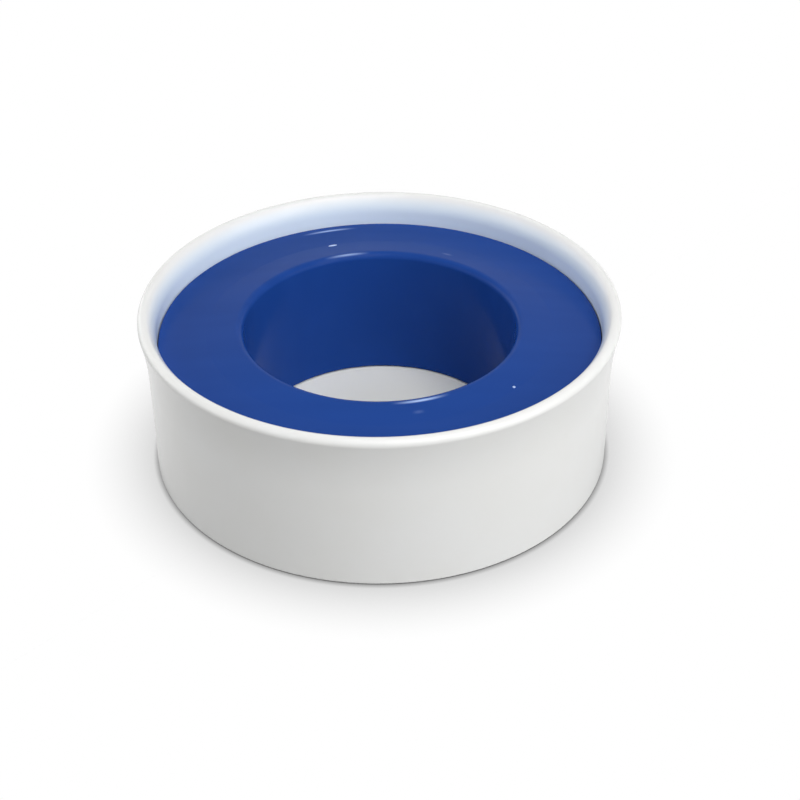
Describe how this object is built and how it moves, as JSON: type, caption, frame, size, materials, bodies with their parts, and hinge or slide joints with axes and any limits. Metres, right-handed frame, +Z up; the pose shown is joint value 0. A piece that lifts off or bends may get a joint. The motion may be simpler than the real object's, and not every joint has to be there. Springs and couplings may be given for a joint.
{
  "type": "thread seal tape roll",
  "caption": "Roll of thread seal tape: a flanged spool wound with thin white tape, which lifts out of an open moulded shell with a flared rim.",
  "frame": {"origin": "centre of the shell's base, on the surface that the roll stands on", "axes": "+Z up along the axis of the roll, towards the shell's flared rim; +X towards the start of the loose outer wrap of tape"},
  "size_m": [0.056, 0.056, 0.0197],
  "materials": {
    "shell": "satin moulded white polypropylene",
    "spool": "semi-gloss moulded blue polypropylene",
    "tape": "matt white unsintered PTFE film"
  },
  "bodies": {
    "shell": {"outer_shell": "shell"},
    "spool": {"spool": "spool", "tape_roll": "tape"},
    "tape_end": {"tape_end": "tape"}
  },
  "joints": [
    {"name": "spool_lift", "type": "slide", "parent": "shell", "child": "spool", "axis": [0, 0, 1], "range_m": [0, 0.026]},
    {"name": "tape_unwind", "type": "hinge", "parent": "spool", "child": "tape_end", "pos_m": [0, 0, 0.0086], "axis": [0, 0, 1], "continuous": true}
  ]
}
